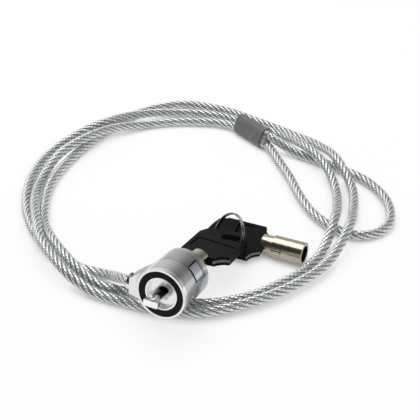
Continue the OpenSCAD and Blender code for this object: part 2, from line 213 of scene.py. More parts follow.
sheet_mirrored = worked_out(sheet_tree, "MAXIMUM", sheet_rays["Is Glossy Ray"],
                            sheet_rays["Is Transmission Ray"])
sheet_dimmed = worked_out(sheet_tree, "MULTIPLY", sheet_mirrored, SHEET_MIRRORED)
sheet_share = worked_out(sheet_tree, "MAXIMUM", sheet_seen, sheet_dimmed)
sheet_white = sheet_tree.nodes.new("ShaderNodeEmission")
sheet_mix = sheet_tree.nodes.new("ShaderNodeMixShader")
sheet_tree.links.new(sheet_share, sheet_mix.inputs[0])
wire_up(sheet_tree, sheet_shader, 0, sheet_mix, 1)
wire_up(sheet_tree, sheet_white, 0, sheet_mix, 2)
wire_up(sheet_tree, sheet_mix, 0, sheet_tree.nodes["Material Output"], 0)
table.data.materials.append(sheet_paint)


# ---------------------------------------------------------------------------
# Cable: about 1.4 m of galvanised steel wires laid in a right-hand helix, with
# a clear vinyl coat over them. It leaves the lock's arm, makes almost three
# turns on the table, and ends in an eye that is pressed in the ferrule.
# ---------------------------------------------------------------------------
CABLE_D = 0.0044
# Places in millimetres from the point on the table under the middle of the head's
# front, which LAY_SHIFT moves into the shared frame.
LAY_SHIFT = np.array([-8.6, -31.4, 0.0])
CABLE_KNOTS_MM = [
    (-12.5, 5.319, 14.1), (-16, 5.319, 14.1), (-22.5, 8.5, 11), (-30, 14.5, 5.2),
    (-38, 16.5, 2.3), (-48, 16.5, 2.2), (-65, 21.5, 2.2), (-80.5, 31.5, 2.2),
    (-93.5, 45.5, 2.2), (-103, 62.5, 2.2), (-108, 82, 2.2), (-105.5, 102, 3.6),
    (-94.5, 119.5, 7), (-84.5, 137, 4.6), (-69.5, 150, 2.4), (-50, 156, 2.2),
    (-30, 154, 2.2), (-12, 149.5, 3.1), (3, 139, 7), (17, 129, 5.4),
    (27.5, 115.5, 2.4), (34, 98, 5.4), (36.5, 87.5, 7), (38, 76, 4.8),
    (38, 65, 2.8), (36, 54.5, 2.2), (32.5, 46, 2.2), (22.5, 29.5, 2.2),
    (7.5, 17.5, 2.2), (-11.5, 13.5, 2.2), (-30, 10, 2.3), (-38.5, 10.5, 3.6),
    (-48.5, 13.5, 6.3), (-64, 23, 7), (-76.5, 35.5, 3.2), (-86, 49.5, 2.2),
    (-93, 65, 2.2), (-96, 82, 2.2), (-96.5, 100, 2.2), (-95, 119.5, 2.2),
    (-89.5, 141, 2.2), (-74, 158.5, 2.2), (-51.5, 162.5, 2.2), (-30, 159, 2.2),
    (-10.5, 154.5, 2.2), (8, 146.5, 4.2), (21, 134, 7.2), (34, 119, 3),
    (40.5, 101, 3.9), (44, 85, 7.2), (43.5, 62.5, 4.4), (37, 43.5, 3.9),
    (25.5, 26, 3.6), (10, 12.5, 2.8), (-10, 7, 2.2), (-30, 5, 2.4),
    (-40, 5.8, 4.2), (-49.5, 8.5, 6.6), (-66, 18.5, 8), (-79, 33, 6.9),
    (-89.5, 47, 4.8), (-98, 63.5, 2.4), (-100, 82, 5.8), (-96, 99.5, 6.9),
    (-90.5, 117, 4.9), (-79.5, 131.5, 2.3), (-65, 142, 2.2), (-48, 148.5, 2.4)]
EYE_KNOTS_MM = [
    (-12.5, 135, 2.6), (-4.5, 126.5, 2.2), (5, 116, 2.2), (14.5, 104, 2.2),
    (25, 93.5, 2.2), (37, 87, 2.2), (47.5, 86.5, 2.2), (55, 93.5, 2.2),
    (56.5, 104, 2.2), (50.5, 118, 2.2), (38, 129, 2.2), (22, 134.3, 2.2),
    (4, 137.3, 2.2), (-5, 138.2, 3.8), (-11, 138.8, 6)]
FERRULE_MID_MM = np.array([-26.0, 144.0, 5.036])
FERRULE_TURN = math.radians(-26.0)
FERRULE_LEAN = math.radians(24.0)
LANE_GAP_MM = 4.6
LANE_OUT_MM = (-11, 0, 11)
LANE_BACK_MM = (11, 0, -9)
SPAN_STEPS = 24

ferrule_along = np.array([math.cos(FERRULE_TURN), math.sin(FERRULE_TURN), 0.0])
ferrule_across = np.array([-math.sin(FERRULE_TURN) * math.sin(FERRULE_LEAN),
                           math.cos(FERRULE_TURN) * math.sin(FERRULE_LEAN),
                           math.cos(FERRULE_LEAN)])


def lane(along, side):
    """A point of a cable lane in the ferrule: its middle, moved by so many millimetres
    along it and by half a gap across it, to side 1 or -1."""
    return tuple(FERRULE_MID_MM + along * ferrule_along
                 + side * 0.5 * LANE_GAP_MM * ferrule_across)


def smooth_line(knots):
    """Catmull-Rom curve: each span is a cubic in t of the four knots round it."""
    p = np.asarray(knots, float)
    p = np.vstack([2 * p[0] - p[1], p, 2 * p[-1] - p[-2]])
    t = (np.arange(SPAN_STEPS) / SPAN_STEPS)[None, :, None]
    a, b, c, d = p[:-3, None], p[1:-2, None], p[2:-1, None], p[3:, None]
    curve = 0.5 * (2 * b + (c - a) * t + (2 * a - 5 * b + 4 * c - d) * t ** 2
                   + (3 * b - a - 3 * c + d) * t ** 3)
    return np.vstack([curve.reshape(-1, 3), p[-2]])


def even_steps(line, step):
    """The same line at equal arc lengths, by linear interpolation along its length."""
    run = np.concatenate([[0.0], np.cumsum(np.linalg.norm(np.diff(line, axis=0), axis=1))])
    count = int(round(run[-1] / step)) + 1
    at = np.linspace(0.0, run[-1], count)
    return np.stack([np.interp(at, run, line[:, k]) for k in range(3)], axis=1), at


def swept_skin(line, run, radius, columns, twist=0.0):
    """Rings round a level line: line + r(angle) * (cos * sideways + sin * up),
    where each ring is also turned by twist radians per metre of run."""
    along = np.gradient(line, axis=0)
    along /= np.linalg.norm(along, axis=1)[:, None]
    side = np.cross(along, [0.0, 0.0, 1.0])
    side /= np.linalg.norm(side, axis=1)[:, None]
    up = np.cross(side, along)
    angle = np.arange(columns) * (2 * math.pi / columns)
    turned = -(angle[None, :] + twist * run[:, None])
    r = radius(angle)[None, :, None]
    ring = (np.cos(turned)[..., None] * side[:, None]
            + np.sin(turned)[..., None] * up[:, None])
    points = (line[:, None] + r * ring).reshape(-1, 3)
    rows = np.arange(len(line) - 1)[:, None] * columns
    here = np.arange(columns)[None, :]
    after = (here + 1) % columns
    faces = np.stack([rows + here, rows + columns + here,
                      rows + columns + after, rows + after], axis=-1).reshape(-1, 4)
    ends = [tuple(range(columns)),
            tuple(reversed(range(len(points) - columns, len(points))))]
    return points, [tuple(f) for f in faces] + ends


def group(name, inputs, outputs):
    """An empty shader node group with named sockets: (name, kind, default)."""
    tree = bpy.data.node_groups.new(name, "ShaderNodeTree")
    for label, kind, value in inputs:
        socket = tree.interface.new_socket(label, in_out="INPUT", socket_type=kind)
        if value is not None:
            socket.default_value = value
    for label, kind in outputs:
        tree.interface.new_socket(label, in_out="OUTPUT", socket_type=kind)
    entry = tree.nodes.new("NodeGroupInput")
    leave = tree.nodes.new("NodeGroupOutput")
    return tree, entry, leave


def surface_mottle():
    """Group: soft noise, spread between its low and high, that mixes two colours; it
    gives the colour and the spread value."""
    tree, entry, leave = group(
        "surface_mottle",
        [("Coordinates", "NodeSocketVector", None), ("Scale", "NodeSocketFloat", 400.0),
         ("Detail", "NodeSocketFloat", 4.0), ("Dark", "NodeSocketColor", None),
         ("Light", "NodeSocketColor", None), ("Low", "NodeSocketFloat", 0.3),
         ("High", "NodeSocketFloat", 0.7)],
        [("Color", "NodeSocketColor"), ("Value", "NodeSocketFloat")])
    noise = tree.nodes.new("ShaderNodeTexNoise")
    noise.inputs["Roughness"].default_value = 0.55
    spread = tree.nodes.new("ShaderNodeMapRange")
    blend_colours = tree.nodes.new("ShaderNodeMix")
    blend_colours.data_type = "RGBA"
    wire_up(tree, entry, "Coordinates", noise, "Vector")
    wire_up(tree, entry, "Scale", noise, "Scale")
    wire_up(tree, entry, "Detail", noise, "Detail")
    wire_up(tree, noise, "Fac", spread, "Value")
    wire_up(tree, entry, "Low", spread, "From Min")
    wire_up(tree, entry, "High", spread, "From Max")
    wire_up(tree, spread, "Result", blend_colours, "Factor")
    tree.links.new(entry.outputs["Dark"], blend_colours.inputs[6])
    tree.links.new(entry.outputs["Light"], blend_colours.inputs[7])
    tree.links.new(blend_colours.outputs[2], leave.inputs["Color"])
    wire_up(tree, spread, "Result", leave, "Value")
    return tree


MOTTLE = surface_mottle()


def mottled(name, dark, light, scale, rough, metallic=0.0, bump=0.0, **plain):
    """A material whose colour and roughness both follow the mottle group, read on
    the object's own coordinates, with an optional bump of the same pattern, its
    height in metres. Further sockets are set by name, with _ for a space."""
    material = bpy.data.materials.new(name)
    material.use_nodes = True
    tree = material.node_tree
    shader = tree.nodes["Principled BSDF"]
    place = tree.nodes.new("ShaderNodeTexCoord")
    noise = tree.nodes.new("ShaderNodeGroup")
    noise.node_tree = MOTTLE
    noise.inputs["Scale"].default_value = scale
    noise.inputs["Dark"].default_value = (*dark, 1.0)
    noise.inputs["Light"].default_value = (*light, 1.0)
    to_rough = tree.nodes.new("ShaderNodeMapRange")
    to_rough.inputs["To Min"].default_value = rough[0]
    to_rough.inputs["To Max"].default_value = rough[1]
    wire_up(tree, place, "Object", noise, "Coordinates")
    wire_up(tree, noise, "Color", shader, "Base Color")
    wire_up(tree, noise, "Value", to_rough, "Value")
    wire_up(tree, to_rough, "Result", shader, "Roughness")
    shader.inputs["Metallic"].default_value = metallic
    for socket, value in plain.items():
        shader.inputs[socket.replace("_", " ")].default_value = value
    if bump:
        relief = tree.nodes.new("ShaderNodeBump")
        relief.inputs["Distance"].default_value = bump
        wire_up(tree, noise, "Value", relief, "Height")
        wire_up(tree, relief, "Normal", shader, "Normal")
    return material


COAT_STEP = 0.0022
COAT_COLUMNS = 20
cable_knots = CABLE_KNOTS_MM + [lane(along, -1) for along in LANE_OUT_MM]
cable_knots += EYE_KNOTS_MM + [lane(along, 1) for along in LANE_BACK_MM]
cable_line = (smooth_line(cable_knots) + LAY_SHIFT) / 1000.0
cable_path, cable_run = even_steps(cable_line, COAT_STEP)
coat_points, coat_faces = swept_skin(cable_path, cable_run,
                                     lambda a: np.full(len(a), CABLE_D / 2), COAT_COLUMNS)
cable_coat = mesh_piece("cable_coat", coat_points, coat_faces)

# The rope under the coat: six round strands that turn once in 21 mm, and in each
# strand fine wires that run nearly along the cable.
STRANDS = 6
STRAND_COLUMNS = 10
STRAND_LAY = 0.021
STRAND_STEP = 0.00115
STRAND_CREST = 0.00212
STRAND_GROOVE = 0.00140
STRAND_ROUNDNESS = 0.96
# Painted shade: the grooves between the strands are darkened towards a near-black by the ridge
# height.
GROOVE_SHADE_EDGE = (0.30, 0.95)
GROOVE_PAINTED_SHADE = (0.03, 0.034, 0.034, 1.0)
FINE_WIRES = 26
FINE_WIRE_SLANT = -60.0
FINE_WIRE_RELIEF = 0.00003
rope_columns = STRANDS * STRAND_COLUMNS
rope_twist = 2 * math.pi / STRAND_LAY


def strand_ridges(angle):
    """Radius of the rope at an angle: groove + (crest - groove) * the square root of
    1 - STRAND_ROUNDNESS * across^2, where across runs from -1 to 1 over each strand."""
    across = 2.0 * ((angle * STRANDS / (2 * math.pi)) % 1.0) - 1.0
    height = np.sqrt(1.0 - STRAND_ROUNDNESS * across ** 2)
    return STRAND_GROOVE + (STRAND_CREST - STRAND_GROOVE) * height


wire_path, wire_run = even_steps(cable_line, STRAND_STEP)
wire_points, wire_faces = swept_skin(wire_path, wire_run, strand_ridges, rope_columns, rope_twist)
cable_wires = mesh_piece("cable_wires", wire_points, wire_faces)
ridge_angle = np.arange(rope_columns) * (2 * math.pi / rope_columns)
ridge_share = (strand_ridges(ridge_angle) - STRAND_GROOVE) / (STRAND_CREST - STRAND_GROOVE)
ridge = cable_wires.data.attributes.new("ridge", "FLOAT", "POINT")
ridge.data.foreach_set("value", np.tile(ridge_share, len(wire_path)).astype(np.float32))


def wrap_map(mesh, run, columns, twist):
    """UV map of a swept skin: u is the turns round the cable, also counting the
    twist, and v is the run along it in metres; end caps stay at zero."""
    row = np.arange(len(run) - 1)[:, None]
    column = np.arange(columns)[None, :]
    at_row = np.stack([row + 0 * column, row + 1 + 0 * column,
                       row + 1 + 0 * column, row + 0 * column], axis=-1)
    at_column = np.stack([column + 0 * row, column + 0 * row,
                          column + 1 + 0 * row, column + 1 + 0 * row], axis=-1)
    u = at_column / columns + twist * run[at_row] / (2 * math.pi)
    uv = np.stack([u, run[at_row]], axis=-1).reshape(-1, 2)
    layer = mesh.uv_layers.new(name="wrap")
    values = np.zeros((len(mesh.loops), 2), np.float32)
    values[:len(uv)] = uv
    layer.data.foreach_set("uv", values.ravel())


wrap_map(cable_wires.data, wire_run, rope_columns, rope_twist)


def fine_wire_lines():
    """Group: the height of round wires side by side, as the size of the sine of pi
    times the number of wires round the cable, slanted by the run along it."""
    tree, entry, leave = group(
        "fine_wire_lines",
        [("Wrap", "NodeSocketVector", None), ("Wires", "NodeSocketFloat", 24.0)],
        [("Height", "NodeSocketFloat")])
    parts = tree.nodes.new("ShaderNodeSeparateXYZ")
    wire_up(tree, entry, "Wrap", parts, 0)
    count = worked_out(tree, "MULTIPLY", parts.outputs["X"], entry.outputs["Wires"])
    slanted = worked_out(tree, "MULTIPLY_ADD", parts.outputs["Y"], FINE_WIRE_SLANT, count)
    wave = worked_out(tree, "SINE", worked_out(tree, "MULTIPLY", slanted, math.pi))
    height = worked_out(tree, "ABSOLUTE", wave)
    tree.links.new(height, leave.inputs["Height"])
    return tree


def galvanised_wires():
    """Zinc-grey wire: mottled, with painted shade that darkens the grooves between the
    strands, and with the relief of its fine wires."""
    material = mottled("galvanised_wires", dark=(0.66, 0.68, 0.68), light=(0.92, 0.94, 0.94),
                       scale=300.0, rough=(0.14, 0.28), metallic=0.85)
    tree = material.node_tree
    shader = tree.nodes["Principled BSDF"]
    height = tree.nodes.new("ShaderNodeAttribute")
    height.attribute_name = "ridge"
    shade = tree.nodes.new("ShaderNodeMapRange")
    shade.inputs["From Min"].default_value = GROOVE_SHADE_EDGE[0]
    shade.inputs["From Max"].default_value = GROOVE_SHADE_EDGE[1]
    darken = tree.nodes.new("ShaderNodeMix")
    darken.data_type = "RGBA"
    darken.inputs[6].default_value = GROOVE_PAINTED_SHADE
    wrap = tree.nodes.new("ShaderNodeUVMap")
    wrap.uv_map = "wrap"
    lines = tree.nodes.new("ShaderNodeGroup")
    lines.node_tree = fine_wire_lines()
    lines.inputs["Wires"].default_value = FINE_WIRES
    relief = tree.nodes.new("ShaderNodeBump")
    relief.inputs["Distance"].default_value = FINE_WIRE_RELIEF
    mottle_colour = shader.inputs["Base Color"].links[0].from_socket
    wire_up(tree, height, "Fac", shade, "Value")
    wire_up(tree, shade, "Result", darken, "Factor")
    tree.links.new(mottle_colour, darken.inputs[7])
    tree.links.new(darken.outputs[2], shader.inputs["Base Color"])
    wire_up(tree, wrap, "UV", lines, "Wrap")
    wire_up(tree, lines, "Height", relief, "Height")
    wire_up(tree, relief, "Normal", shader, "Normal")
    return material


cable_wires.data.materials.append(galvanised_wires())
clear_vinyl = mottled("clear_vinyl", dark=(0.88, 0.90, 0.90), light=(0.95, 0.96, 0.96),
                      scale=90.0, rough=(0.05, 0.10), Alpha=0.08, Specular_IOR_Level=0.8)
cable_coat.data.materials.append(clear_vinyl)
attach(cable_coat, "cable")
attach(cable_wires, "cable")
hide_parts("cable_turn_1", "cable_turn_2", "cable_turn_3", "cable_turn_4",
            "cable_eye")


# ---------------------------------------------------------------------------
# Ferrule and its sleeve: an aluminium bush pressed flat over the two cable runs
# that close the eye, with a grey shrunk sleeve over all but its end.
# ---------------------------------------------------------------------------
MERGE_REACH = 2e-6
FLAT_WITHIN = math.radians(0.8)
SHARP_FROM = math.radians(32.0)


def softened(node, material, edge_width):
    """A copy of a CAD part with its loose triangles joined, its flat faces merged
    and its sharp edges rounded; it rides where the part did and stands for it."""
    source = frame["nodes"][node]
    work = bmesh.new()
    work.from_mesh(source.data)
    bmesh.ops.remove_doubles(work, verts=work.verts, dist=MERGE_REACH)
    bmesh.ops.dissolve_limit(work, angle_limit=FLAT_WITHIN, verts=work.verts,
                             edges=work.edges)
    mesh = bpy.data.meshes.new(node + "_dressed")
    work.to_mesh(mesh)
    work.free()
    mesh.materials.clear()
    mesh.materials.append(material)
    mesh.polygons.foreach_set("material_index", np.zeros(len(mesh.polygons), np.int32))
    mesh.shade_smooth()
    mesh.set_sharp_from_angle(angle=SHARP_FROM)
    piece = bpy.data.objects.new(node + "_dressed", mesh)
    bpy.context.scene.collection.objects.link(piece)
    round_edges = piece.modifiers.new("rounded_edges", "BEVEL")
    round_edges.width = edge_width
    round_edges.segments = 3
    round_edges.limit_method = "ANGLE"
    round_edges.angle_limit = SHARP_FROM
    round_edges.harden_normals = True
    round_edges.use_clamp_overlap = True
    for body, members in frame["record"]["behaviour"]["bodies"].items():
        if node in members:
            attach(piece, body)
    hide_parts(node)
    return piece


ferrule_aluminium = mottled("ferrule_aluminium", dark=(0.06, 0.06, 0.055),
                            light=(0.66, 0.66, 0.63), scale=480.0, rough=(0.26, 0.46),
                            metallic=0.85, bump=0.00007)
sleeve_grey = mottled("sleeve_grey", dark=(0.115, 0.115, 0.120), light=(0.175, 0.175, 0.18),
                      scale=500.0, rough=(0.42, 0.58), bump=0.00003, Specular_IOR_Level=0.4)
ferrule_bush = softened("ferrule", ferrule_aluminium, edge_width=0.00060)
grey_sleeve = softened("ferrule_sleeve", sleeve_grey, edge_width=0.00025)


# ---------------------------------------------------------------------------
# Barrel and front rim: one turned and chromed zinc casting. Its front rim stands
# round the rubber ring, and the swivel collar turns on its middle.
# ---------------------------------------------------------------------------
bright_chrome = mottled("bright_chrome", dark=(0.80, 0.80, 0.81), light=(0.84, 0.84, 0.85),
                        scale=150.0, rough=(0.07, 0.12), metallic=1.0)
softened("lock_barrel", bright_chrome, edge_width=0.00018)


# ---------------------------------------------------------------------------
# Face ring: a flat black rubber washer that keeps the rim off the laptop's case.
# It is pressed in the groove behind the rim.
# ---------------------------------------------------------------------------
face_rubber = mottled("face_rubber", dark=(0.003, 0.003, 0.003), light=(0.008, 0.008, 0.008),
                      scale=900.0, rough=(0.50, 0.65), bump=0.00002, Specular_IOR_Level=0.12)
softened("face_ring", face_rubber, edge_width=0.00025)


# ---------------------------------------------------------------------------
# Nose cup: a polished dish inside the rubber ring, with two pins set in its floor
# that lie in the laptop's slot beside the bar. Painted shade darkens the hole round the bar's
# neck.
# ---------------------------------------------------------------------------
HEAD_TILT = math.radians(9.3)
HEAD_FRONT = np.array([-8.6, -31.4, 17.2])
HEAD_BACK = np.array([0.0, math.cos(HEAD_TILT), -math.sin(HEAD_TILT)])
HOLE_SHADE_EDGE = (0.0019, 0.0027)
HOLE_PAINTED_SHADE = (0.004, 0.004, 0.004)


def head_cylinder():
    """Group: how far a point lies from the head's middle line, as the length of the
    cross product with the line's direction, and how far behind the front face, as
    the dot product, both in metres."""
    tree, entry, leave = group("head_cylinder", [("Point", "NodeSocketVector", None)],
                               [("Radius", "NodeSocketFloat"), ("Depth", "NodeSocketFloat")])
    from_front = tree.nodes.new("ShaderNodeVectorMath")
    from_front.operation = "SUBTRACT"
    from_front.inputs[1].default_value = HEAD_FRONT / 1000.0
    around = tree.nodes.new("ShaderNodeVectorMath")
    around.operation = "CROSS_PRODUCT"
    around.inputs[1].default_value = HEAD_BACK
    size = tree.nodes.new("ShaderNodeVectorMath")
    size.operation = "LENGTH"
    behind = tree.nodes.new("ShaderNodeVectorMath")
    behind.operation = "DOT_PRODUCT"
    behind.inputs[1].default_value = HEAD_BACK
    wire_up(tree, entry, "Point", from_front, 0)
    wire_up(tree, from_front, 0, around, 0)
    wire_up(tree, around, 0, size, 0)
    wire_up(tree, size, "Value", leave, "Radius")
    wire_up(tree, from_front, 0, behind, 0)
    wire_up(tree, behind, "Value", leave, "Depth")
    return tree


HEAD_CYLINDER = head_cylinder()


def shade_by(material, measure, edge, tone, upward=None):
    """Mixes a painted tone of light or shade into a material's base colour: all of it where
    the measure is at the edge's first value, and none at its second.
    where the upward part of the surface's normal is at that pair's first value too."""
    tree = material.node_tree
    shader = tree.nodes["Principled BSDF"]
    place = tree.nodes.new("ShaderNodeTexCoord")
    cylinder = tree.nodes.new("ShaderNodeGroup")
    cylinder.node_tree = HEAD_CYLINDER
    share = tree.nodes.new("ShaderNodeMapRange")
    share.interpolation_type = "SMOOTHSTEP"
    share.inputs["From Min"].default_value = edge[0]
    share.inputs["From Max"].default_value = edge[1]
    mix = tree.nodes.new("ShaderNodeMix")
    mix.data_type = "RGBA"
    mix.inputs[6].default_value = (*tone, 1.0)
    plain = shader.inputs["Base Color"].links[0].from_socket
    wire_up(tree, place, "Object", cylinder, "Point")
    wire_up(tree, cylinder, measure, share, "Value")
    plain_share = share.outputs["Result"]
    if upward:
        up_part = tree.nodes.new("ShaderNodeSeparateXYZ")
        up_share = tree.nodes.new("ShaderNodeMapRange")
        up_share.inputs["From Min"].default_value = upward[0]
        up_share.inputs["From Max"].default_value = upward[1]
        wire_up(tree, place, "Normal", up_part, 0)
        wire_up(tree, up_part, "Z", up_share, "Value")
        plain_share = worked_out(tree, "MAXIMUM", plain_share, up_share.outputs["Result"])
    tree.links.new(plain_share, mix.inputs["Factor"])
    tree.links.new(plain, mix.inputs[7])
    tree.links.new(mix.outputs[2], shader.inputs["Base Color"])


cup_chrome = mottled("cup_chrome", dark=(0.92, 0.92, 0.92), light=(0.97, 0.97, 0.97), scale=150.0,
                     rough=(0.12, 0.20), metallic=0.65)
# Painted shade: the cup's floor near the head's middle line is mixed to near-black as the hole's
# shade.
shade_by(cup_chrome, "Radius", HOLE_SHADE_EDGE, HOLE_PAINTED_SHADE)
pin_chrome = mottled("pin_chrome", dark=(0.78, 0.78, 0.78), light=(0.90, 0.90, 0.90), scale=300.0,
                     rough=(0.10, 0.25), metallic=0.6)
softened("nose_cup", cup_chrome, edge_width=0.00022)
softened("locating_pins", pin_chrome, edge_width=0.00030)


# ---------------------------------------------------------------------------
# T-bar and spindle: the bar's head passes through the slot and is turned by the
# key. It is one turned and milled steel piece, held by a clip inside the barrel.
# ---------------------------------------------------------------------------
NECK_SHADE = (-0.0020, -0.0048)
NECK_PAINTED_SHADE = (0.006, 0.006, 0.006)


def dress(node, material):
    """Puts one material in every slot of a CAD node's object."""
    piece = frame["nodes"][node]
    piece.data.materials.clear()
    piece.data.materials.append(material)


bar_steel = mottled("bar_steel", dark=(0.90, 0.90, 0.90), light=(0.96, 0.96, 0.96), scale=220.0,
                    rough=(0.10, 0.18), metallic=0.85)
# Painted shade: the bar's neck darkens towards the cup, where it goes into the dark hole.
shade_by(bar_steel, "Depth", NECK_SHADE, NECK_PAINTED_SHADE)
softened("t_bar", bar_steel, edge_width=0.00045)
works_steel = mottled("works_steel", dark=(0.35, 0.35, 0.36), light=(0.50, 0.50, 0.50),
                      scale=400.0, rough=(0.25, 0.35), metallic=1.0)
dress("spindle_clip", works_steel)


# ---------------------------------------------------------------------------
# Swivel collar with its arm: a chromed casting that turns freely on the barrel.
# The cable's end is pressed in the arm's tip. The arm has painted shade on top and a
# painted highlight in front.
# ---------------------------------------------------------------------------
ARM_TOP_FROM = (0.0109, 0.0101)
ARM_TOP_UPWARD = (0.34, 0.20)
ARM_TOP_PAINTED_SHADE = (0.12, 0.12, 0.12)
ARM_FACE_FROM = (0.0122, 0.0106)
ARM_FACE_UPWARD = (0.15, 0.45)
ARM_FACE_PAINTED_LIGHT = (0.80, 0.80, 0.80)
collar_chrome = mottled("collar_chrome", dark=(0.53, 0.54, 0.55), light=(0.60, 0.61, 0.62),
                        scale=260.0, rough=(0.16, 0.24), metallic=1.0)
# Painted shade on the arm's upward faces and a painted highlight on its front face.
shade_by(collar_chrome, "Radius", ARM_TOP_FROM, ARM_TOP_PAINTED_SHADE, upward=ARM_TOP_UPWARD)
shade_by(collar_chrome, "Radius", ARM_FACE_FROM, ARM_FACE_PAINTED_LIGHT, upward=ARM_FACE_UPWARD)
softened("swivel_collar", collar_chrome, edge_width=0.00050)
anchor_aluminium = mottled("anchor_aluminium", dark=(0.04, 0.04, 0.04), light=(0.10, 0.10, 0.10),
                           scale=500.0, rough=(0.60, 0.75), metallic=0.3, Specular_IOR_Level=0.1)
dress("cable_anchor", anchor_aluminium)


# ---------------------------------------------------------------------------
# Rear housing, its end ring and the core behind its window: the part that stays
# still while the collar turns. The core's lug lies almost flush in the window.
# ---------------------------------------------------------------------------
rear_chrome = mottled("rear_chrome", dark=(0.40, 0.41, 0.42), light=(0.48, 0.49, 0.50),
                      scale=260.0, rough=(0.14, 0.22), metallic=1.0)
softened("rear_housing", rear_chrome, edge_width=0.00022)
satin_chrome = mottled("satin_chrome", dark=(0.53, 0.54, 0.55), light=(0.60, 0.61, 0.62),
                       scale=260.0, rough=(0.16, 0.24), metallic=1.0)
softened("rear_cap", satin_chrome, edge_width=0.00050)
core_nickel = mottled("core_nickel", dark=(0.58, 0.60, 0.64), light=(0.65, 0.67, 0.71),
                      scale=300.0, rough=(0.16, 0.24), metallic=1.0)
softened("lock_core", core_nickel, edge_width=0.00010)


# ---------------------------------------------------------------------------
# Tumbler works: a brass block, seven pins on seven springs, and the plug that
# the key turns. They are closed in behind the nose and show only in the keyway.
# ---------------------------------------------------------------------------
works_brass = mottled("works_brass", dark=(0.55, 0.38, 0.14), light=(0.72, 0.53, 0.24),
                      scale=400.0, rough=(0.25, 0.40), metallic=1.0)
for inner in ("tumbler_block", "turning_plug", "key_pins", "driver_pins"):
    dress(inner, works_brass)
for inner in ("tumbler_springs", "stop_pin"):
    dress(inner, works_steel)


# ---------------------------------------------------------------------------
# Keys: a nickel-plated tube rolled from sheet, with a flat tang that the black
# plastic grip is moulded round. One is in the lock, its spare lies on the table.
# ---------------------------------------------------------------------------
KEY_1_DEPTH = 13.8
KEY_1_ROLL = math.radians(5.0)
KEY_2_TIP = np.array([24.4, 29.8, 4.8])
KEY_2_SLOPE = math.radians(1.75)
HEAD_UP = np.array([0.0, math.sin(HEAD_TILT), math.cos(HEAD_TILT)])
KEY_1_WIDE = np.array([math.cos(KEY_1_ROLL), 0.0, 0.0]) + math.sin(KEY_1_ROLL) * HEAD_UP
# Each key's frame: its tube's tip, and the ways across it, back along it and above.
KEY_FRAMES = {
    "key_1": (HEAD_FRONT + KEY_1_DEPTH * HEAD_BACK, KEY_1_WIDE, HEAD_BACK,
              np.cross(KEY_1_WIDE, HEAD_BACK)),
    "key_2": (KEY_2_TIP, np.array([0.0, -1.0, 0.0]),
              np.array([-math.cos(KEY_2_SLOPE), 0.0, -math.sin(KEY_2_SLOPE)]),
              np.array([-math.sin(KEY_2_SLOPE), 0.0, math.cos(KEY_2_SLOPE)]))}


def on_key(key, wide, back, high):
    """Points given in millimetres across a key, back from its tube's tip and above its
    middle: tip + wide * across + back * along + high * over, in metres."""
    origin, across, along, over = KEY_FRAMES[key]
    return (origin + np.asarray(wide)[..., None] * across
            + np.asarray(back)[..., None] * along
            + np.asarray(high)[..., None] * over) / 1000.0


def closed_loft(name, rings, material):
    """A closed solid from an array of rings of points: quads between each two rings,
    flat ends, and all faces turned outwards."""
    rows, columns = rings.shape[:2]
    row = np.arange(rows - 1)[:, None] * columns
    column = np.arange(columns)[None, :]
    after = (column + 1) % columns
    quads = np.stack([row + column, row + after, row + columns + after,
                      row + columns + column], axis=-1).reshape(-1, 4)
    faces = [tuple(f) for f in quads]
    faces += [tuple(range(columns)), tuple(range((rows - 1) * columns, rows * columns))]
    piece = mesh_piece(name, rings.reshape(-1, 3), faces, smooth=False)
    work = bmesh.new()
    work.from_mesh(piece.data)
    bmesh.ops.recalc_face_normals(work, faces=work.faces)
    work.to_mesh(piece.data)
    work.free()
    piece.data.materials.append(material)
    return piece


key_nickel = mottled("key_nickel", dark=(0.41, 0.37, 0.29), light=(0.52, 0.48, 0.39), scale=420.0,
                     rough=(0.15, 0.22), metallic=1.0)
grip_black = mottled("grip_black", dark=(0.004, 0.004, 0.0045), light=(0.009, 0.009, 0.010),
                     scale=1300.0, rough=(0.42, 0.52), bump=0.000015, Specular_IOR_Level=0.05)
tang_steel = mottled("tang_steel", dark=(0.12, 0.12, 0.12), light=(0.22, 0.22, 0.22), scale=700.0,
                     rough=(0.40, 0.55), metallic=0.5)
# Near-black for the tube's seams, and for the painted shade of the step round the grip's panel.
seam_and_shade_black = mottled("seam_and_shade_black", dark=(0.0005, 0.0005, 0.0005), light=(0.0015, 0.0015, 0.0015),
                     scale=900.0, rough=(0.6, 0.8), Specular_IOR_Level=0.0)
WAIST_RADIUS = 6.3
WAIST_BACK = 14.3
WAIST_SIDE = 11.2
GRIP_SHIFT = 1.2
GRIP_TOP = 1.8
STRIP_SPAN_DEG = (93.0, 158.0)
STRIP_STEPS = 25
STRIP_OUT = np.array([-0.06, -0.06, 0.35, 0.35])
STRIP_HIGH = np.array([-0.55, 0.55, 0.55, -0.55])
TUBE_RADIUS = 4.8
TUBE_LEN = 13.2
SEAM_END = 8.8
SEAM_TURN = math.radians(15.0)
SEAM_HALF = 0.16
SEAM_BAR = 1.1
SEAM_SIDES = np.array([-1.0, 1.0, 1.0, -1.0])
SEAM_HIGH = np.array([-0.08, -0.08, 0.03, 0.03])
STEM_STEPS = 8
BAR_STEPS = 12
PANEL_CORNERS = np.array([(-7.6, 24.7), (-6.8, 32.2), (11.0, 28.8)])
PANEL_STEPS = 12
PANEL_OUT = np.array([-0.42, -0.36, 0.36, 0.42])
PANEL_HIGH = np.array([0.0, 0.035, 0.035, 0.0])
PANEL_SUNK = 0.01


def key_detail(name, key, rings, material):
    """One closed loft that is fixed on a key and moves with it."""
    detail = closed_loft(name, rings, material)
    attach(detail, key)


